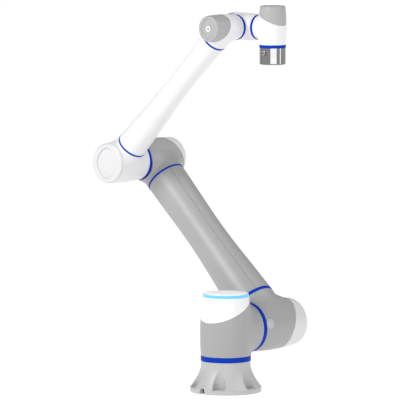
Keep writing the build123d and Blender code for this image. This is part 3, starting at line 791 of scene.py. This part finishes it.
RING_BODIES = {1: "base", 2: "column", 3: "forearm", 4: "wrist_2", 5: "wrist_3", 6: "tool"}
RING_LINES = {
    1: (np.zeros(3), UP, RING_1, RADIUS_1),
    2: (AXIS_2, ASIDE, RING_2, RADIUS_2),
    3: (AXIS_3, ASIDE, RING_3, RADIUS_3),
    4: (AXIS_4, ASIDE, RING_4, RADIUS_W),
    5: (np.array([0, WRIST_Y, WRIST_Z]), RIGHT, RING_5, RADIUS_W),
    6: (np.array([TOOL_X, WRIST_Y, 0]), UP, RING_6, RADIUS_6),
}
for number, (origin, axis, ring, radius) in RING_LINES.items():
    name = f"joint_{number}_band"
    mesh = band_mesh(name, origin, axis, ring[0], ring[1], radius + RING_PROUD)
    node = f"joint_{number}_ring"
    make_object(name, mesh, RING_BLUE, RING_BODIES[number], [node])

for node, origin, way, ring, body in (
    ("hip_trim_ring", LOWER_ORIGIN, LOWER_WAY, HIP_TRIM, "lower_arm"),
    ("elbow_trim_ring", LOWER_ORIGIN, LOWER_WAY, ELBOW_TRIM, "lower_arm"),
    ("forearm_trim_ring", FORE_ORIGIN, FORE_WAY, FORE_TRIM, "forearm"),
    ("wrist_trim_ring", FORE_ORIGIN, FORE_WAY, WRIST_TRIM, "forearm"),
):
    name = node.replace("ring", "band")
    mesh = band_mesh(name, origin, way, ring[0], ring[1], trim_radius(node))
    make_object(name, mesh, RING_BLUE, body, [node])


# ------------------------------------------------------------------ tubes
# The seam line along the lower arm, in radians round the tube, and its depth
SEAM_ANGLE = math.radians(243)
SEAM_STEPS = np.array([-0.028, -0.016, -0.011, 0.0, 0.011, 0.016, 0.028])
SEAM_CLEARANCE, SEAM_HALF_WIDTH, SEAM_DEPTH = 0.035, 0.012, 1.5


def tube_mesh(name, node, origin, way, wall, seam_angle=None, rows=90, segments=192):
    """The outside of a CAD tube made smooth, with a turned-in end and an optional fine seam."""
    points = np.array([v.co for v in frame["nodes"][node].data.vertices]) / MM - origin
    heights = points @ way
    radii = np.linalg.norm(points - np.outer(heights, way), axis=1)
    low, high = heights.min(), heights.max()
    scaled = (heights - low) / (high - low)
    outer = radii > np.polyval(np.polyfit(scaled, radii, 4), scaled)
    curve = np.polyfit(scaled[outer], radii[outer], 6)
    across = np.cross(way, ASIDE)
    turn = np.linspace(0, 2 * math.pi, segments, endpoint=False)
    groove = np.zeros_like(turn)
    if seam_angle is not None:
        turn = turn[np.abs(turn - seam_angle) > SEAM_CLEARANCE]
        turn = np.sort(np.concatenate([turn, seam_angle + SEAM_STEPS]))
        groove = SEAM_DEPTH * (np.abs(turn - seam_angle) < SEAM_HALF_WIDTH)
    share = np.linspace(0, 1, rows)
    profile = [(np.polyval(curve, t), low + (high - low) * t) for t in share]
    ease = 0.5
    profile[0] = (profile[0][0], low + ease)
    profile[-1] = (profile[-1][0], high - ease)
    profile = (
        [(profile[0][0] - wall, low + wall), (profile[0][0] - wall, low)]
        + [(profile[0][0] - ease, low)] + profile + [(profile[-1][0] - ease, high)]
        + [(profile[-1][0] - wall, high), (profile[-1][0] - wall, high - wall)]
    )
    rim = np.outer(np.cos(turn), ASIDE) + np.outer(np.sin(turn), across)
    radius = np.array([r for r, _ in profile])[:, None] - groove[None, :]
    height = np.array([h for _, h in profile])
    places = origin + height[:, None, None] * way + radius[:, :, None] * rim[None, :, :]
    count = len(turn)
    faces = []
    for row in range(len(profile) - 1):
        for i in range(count):
            j = (i + 1) % count
            base = row * count
            faces.append((base + i, base + j, base + count + j, base + count + i))
    mesh = bpy.data.meshes.new(name)
    mesh.from_pydata((places.reshape(-1, 3) * MM).tolist(), [], faces)
    mesh.update()
    mesh.shade_smooth()
    mesh.set_sharp_from_angle(angle=math.radians(30))
    return mesh


lower_mesh = tube_mesh(
    "lower_arm_skin", "lower_arm_tube", LOWER_ORIGIN, LOWER_WAY, 6.0, SEAM_ANGLE
)
make_object(
    "lower_arm_skin", lower_mesh, CASTING_GREY, "lower_arm", ["lower_arm_tube"]
)
fore_mesh = tube_mesh("forearm_skin", "forearm_tube", FORE_ORIGIN, FORE_WAY, 4.0)
make_object(
    "forearm_skin", fore_mesh, CASTING_WHITE, "forearm", ["forearm_tube"]
)

# ------------------------------------------------------------------ wrist plug
plug_low, plug_high = span("wrist_plug", Y)
PLUG_RADIUS, PLUG_HOLE, BUTTON_RADIUS = 12.0, 6.8, 5.2
plug_base, plug_face = -plug_high, -plug_low
plug_floor, button_face = plug_face - 1.4, plug_face - 0.4
plug = [
    (0, plug_base, 0), (PLUG_RADIUS, plug_base, 0.4), (PLUG_RADIUS, plug_face, 0.8),
    (PLUG_HOLE, plug_face, 0.4), (PLUG_HOLE, plug_floor, 0), (0, plug_floor, 0),
]
plug_mesh = turned("wrist_plug_nut", AXIS_4, -ASIDE, rounded(plug, 1), 6)
make_object("wrist_plug_nut", plug_mesh, CAP_WHITE, "forearm", ["wrist_plug"])
button = [
    (0, plug_floor, 0), (BUTTON_RADIUS, plug_floor, 0), (BUTTON_RADIUS, button_face, 0.4),
    (0, button_face, 0),
]
button_mesh = turned("wrist_plug_button", AXIS_4, -ASIDE, rounded(button, 1), 48)
make_object("wrist_plug_button", button_mesh, CAP_GREY, "forearm", [])

# ------------------------------------------------------------------ tool flange
TOOL_LOW, TOOL_HIGH = span("tool_flange", Z)
TOOL_RADIUS = (span("tool_flange", X)[1] - span("tool_flange", X)[0]) / 2
TOOL_BOLTS = next(m for m in frame["record"]["mounts"] if m["name"] == "tool_bolts")["dims"]
TOOL_BORE = next(m for m in frame["record"]["mounts"] if m["name"] == "tool_centring_bore")["dims"]
CONNECTOR_Z = middle("tool_connector", Z)
CONNECTOR_RADIUS = (span("tool_connector", X)[1] - span("tool_connector", X)[0]) / 2
CONNECTOR_SEAT = WRIST_Y - span("tool_connector", Y)[1]
CONNECTOR_FACE = WRIST_Y - span("tool_connector", Y)[0]
TOOL_HEIGHT = TOOL_HIGH - TOOL_LOW
TOOL_HOLE_DEPTH = 12.0
SEAT_CLEARANCE = 0.4
TOOL_EDGE, BORE_EDGE, TOOL_HOLE_EDGE, SEAT_EDGE = 4.0, 0.8, 0.6, 0.8


def tool_field(p):
    x, y, z = p.T
    rho = np.hypot(x, y)
    body = round_meet(rho - TOOL_RADIUS, -z, TOOL_EDGE)
    bore = np.maximum(rho - TOOL_BORE["r_mm"], z - TOOL_BORE["length_mm"])
    body = round_meet(body, -bore, BORE_EDGE)
    turn = 2 * math.pi / TOOL_BOLTS["count"]
    nearest = (np.floor(np.arctan2(y, x) / turn) + 0.5) * turn
    circle = TOOL_BOLTS["pcd_mm"] / 2
    from_hole = np.hypot(x - np.cos(nearest) * circle, y - np.sin(nearest) * circle)
    hole = np.maximum(from_hole - TOOL_BOLTS["hole_r_mm"], z - TOOL_HOLE_DEPTH)
    body = round_meet(body, -hole, TOOL_HOLE_EDGE)
    seat = np.hypot(x, z - (CONNECTOR_Z - TOOL_LOW)) - CONNECTOR_RADIUS - SEAT_CLEARANCE
    return round_meet(body, -np.maximum(seat, y + CONNECTOR_SEAT), SEAT_EDGE)


reach = TOOL_RADIUS + 4
tool_shape = Shape(
    tool_field, (-reach, -reach, -4), (reach, reach, TOOL_HEIGHT + 5), 1.4,
    origin=(TOOL_X, WRIST_Y, TOOL_LOW),
)
tool_mesh = tool_shape.piece("tool_flange_body", [((0, 0, TOOL_HEIGHT), (0, 0, 1))])
make_object("tool_flange_body", tool_mesh, TOOL_STEEL, "tool", ["tool_flange"])

socket = [
    (0, CONNECTOR_SEAT, 0), (CONNECTOR_RADIUS, CONNECTOR_SEAT, 0),
    (CONNECTOR_RADIUS, CONNECTOR_FACE - 4, 0.6),
    (CONNECTOR_RADIUS - 1.2, CONNECTOR_FACE - 3.6, 0.3),
    (CONNECTOR_RADIUS - 1.2, CONNECTOR_FACE, 0.8), (5.5, CONNECTOR_FACE, 0.5),
    (5.5, CONNECTOR_FACE - 8, 0.3), (2.2, CONNECTOR_FACE - 8, 0.3), (1.8, CONNECTOR_FACE - 3, 0.5),
    (0, CONNECTOR_FACE - 3, 0),
]
connector_origin = np.array([TOOL_X, WRIST_Y, CONNECTOR_Z])
connector_mesh = turned(
    "tool_connector_body", connector_origin, -ASIDE, rounded(socket, 0.5), 64
)
make_object(
    "tool_connector_body", connector_mesh, CONNECTOR_METAL, "tool",
    ["tool_connector"],
)

# ------------------------------------------------------------------ CAD pieces that keep their shape
CAD_FINISH = {
    "drive_steel": DRIVE_STEEL, "motor_copper": COPPER, "screw_steel": SCREW_STEEL,
    "plate_alu": PLATE_METAL, "ring_blue": RING_BLUE, "casting_grey": CASTING_GREY,
    "casting_white": CASTING_WHITE, "base_grey": BASE_GREY, "cap_white": CAP_WHITE,
    "cap_grey": CAP_GREY, "status_light": STATUS_LIGHT, "tool_steel": TOOL_STEEL,
    "connector_metal": CONNECTOR_METAL,
}
for row in frame["record"]["subparts"]:
    dress(frame["nodes"][row["node"]], CAD_FINISH[row["material_slot"]])

# ------------------------------------------------------------------ floor, lights and camera
FLOOR_RADIUS = 150.0
FLOOR_GLOW = 0.93
bpy.ops.mesh.primitive_circle_add(vertices=96, radius=FLOOR_RADIUS, fill_type="NGON")
floor = bpy.context.object
floor.name = "floor"
floor_material, floor_tree, floor_surface = shader("floor_paper")
paper = tint(floor_tree, noise(floor_tree, 0.4), (0.195, 0.195, 0.195), (0.205, 0.205, 0.205))
floor_tree.links.new(paper, floor_surface.inputs["Base Color"])
floor_surface.inputs["Roughness"].default_value = 0.9
floor_surface.inputs["Specular IOR Level"].default_value = 0.1
floor_surface.inputs["Emission Color"].default_value = (1, 1, 1, 1)
floor_surface.inputs["Emission Strength"].default_value = FLOOR_GLOW
dress(floor, floor_material)

# A pale tent, brighter at the horizon than overhead
world = bpy.data.worlds.new("studio")
world.use_nodes = True
sky = world.node_tree
direction = sky.nodes.new("ShaderNodeTexCoord")
parts = sky.nodes.new("ShaderNodeSeparateXYZ")
fade = sky.nodes.new("ShaderNodeMapRange")
fade.interpolation_type = "SMOOTHSTEP"
for socket_name, value in (
    ("From Min", 0.02), ("From Max", 0.5), ("To Min", 0.62), ("To Max", 0.32),
):
    fade.inputs[socket_name].default_value = value
sky.links.new(direction.outputs["Generated"], parts.inputs["Vector"])
sky.links.new(parts.outputs["Z"], fade.inputs["Value"])
sky.links.new(fade.outputs["Result"], sky.nodes["Background"].inputs["Strength"])
sky.nodes["Background"].inputs["Color"].default_value = (1, 1, 1, 1)
bpy.context.scene.world = world
bpy.context.scene.view_settings.view_transform = "Standard"

TARGET = Vector((-0.117, -0.012, 0.700))


def towards(azimuth, elevation):
    """The way from the arm to a lamp or camera; azimuth 0 is -Y and 90 is +X."""
    azimuth, elevation = math.radians(azimuth), math.radians(elevation)
    return Vector((
        math.sin(azimuth) * math.cos(elevation), -math.cos(azimuth) * math.cos(elevation),
        math.sin(elevation),
    ))


def soft_light(name, azimuth, elevation, distance, width, height, power):
    data = bpy.data.lights.new(name, "AREA")
    data.shape = "RECTANGLE"
    data.size = width
    data.size_y = height
    data.energy = power
    lamp = bpy.data.objects.new(name, data)
    bpy.context.scene.collection.objects.link(lamp)
    way = towards(azimuth, elevation)
    lamp.location = TARGET + way * distance
    lamp.rotation_euler = way.to_track_quat("Z", "Y").to_euler()


# Azimuth and elevation in degrees; distance, width and height in metres; power in watts
for lamp_facts in (
    ("key", 350, 36, 4.8, 2.2, 2.2, 165),
    ("strip", 52, 2, 4.2, 4.2, 0.5, 26),
    ("rim", 118, 42, 4.6, 2.2, 2.2, 62),
    ("accent", 114, 2, 4.2, 0.6, 0.8, 6),
):
    soft_light(*lamp_facts)

AZIMUTH, ELEVATION = 42, 5.7
DISTANCE = 18.0
VIEW_WIDTH = 1.474
camera_data = bpy.data.cameras.new("camera")
camera = bpy.data.objects.new("camera", camera_data)
bpy.context.scene.collection.objects.link(camera)
back = towards(AZIMUTH, ELEVATION)
camera.location = TARGET + back * DISTANCE
camera.rotation_euler = back.to_track_quat("Z", "Y").to_euler()
camera_data.lens = camera_data.sensor_width * DISTANCE / VIEW_WIDTH
camera_data.clip_end = 400
bpy.context.scene.camera = camera
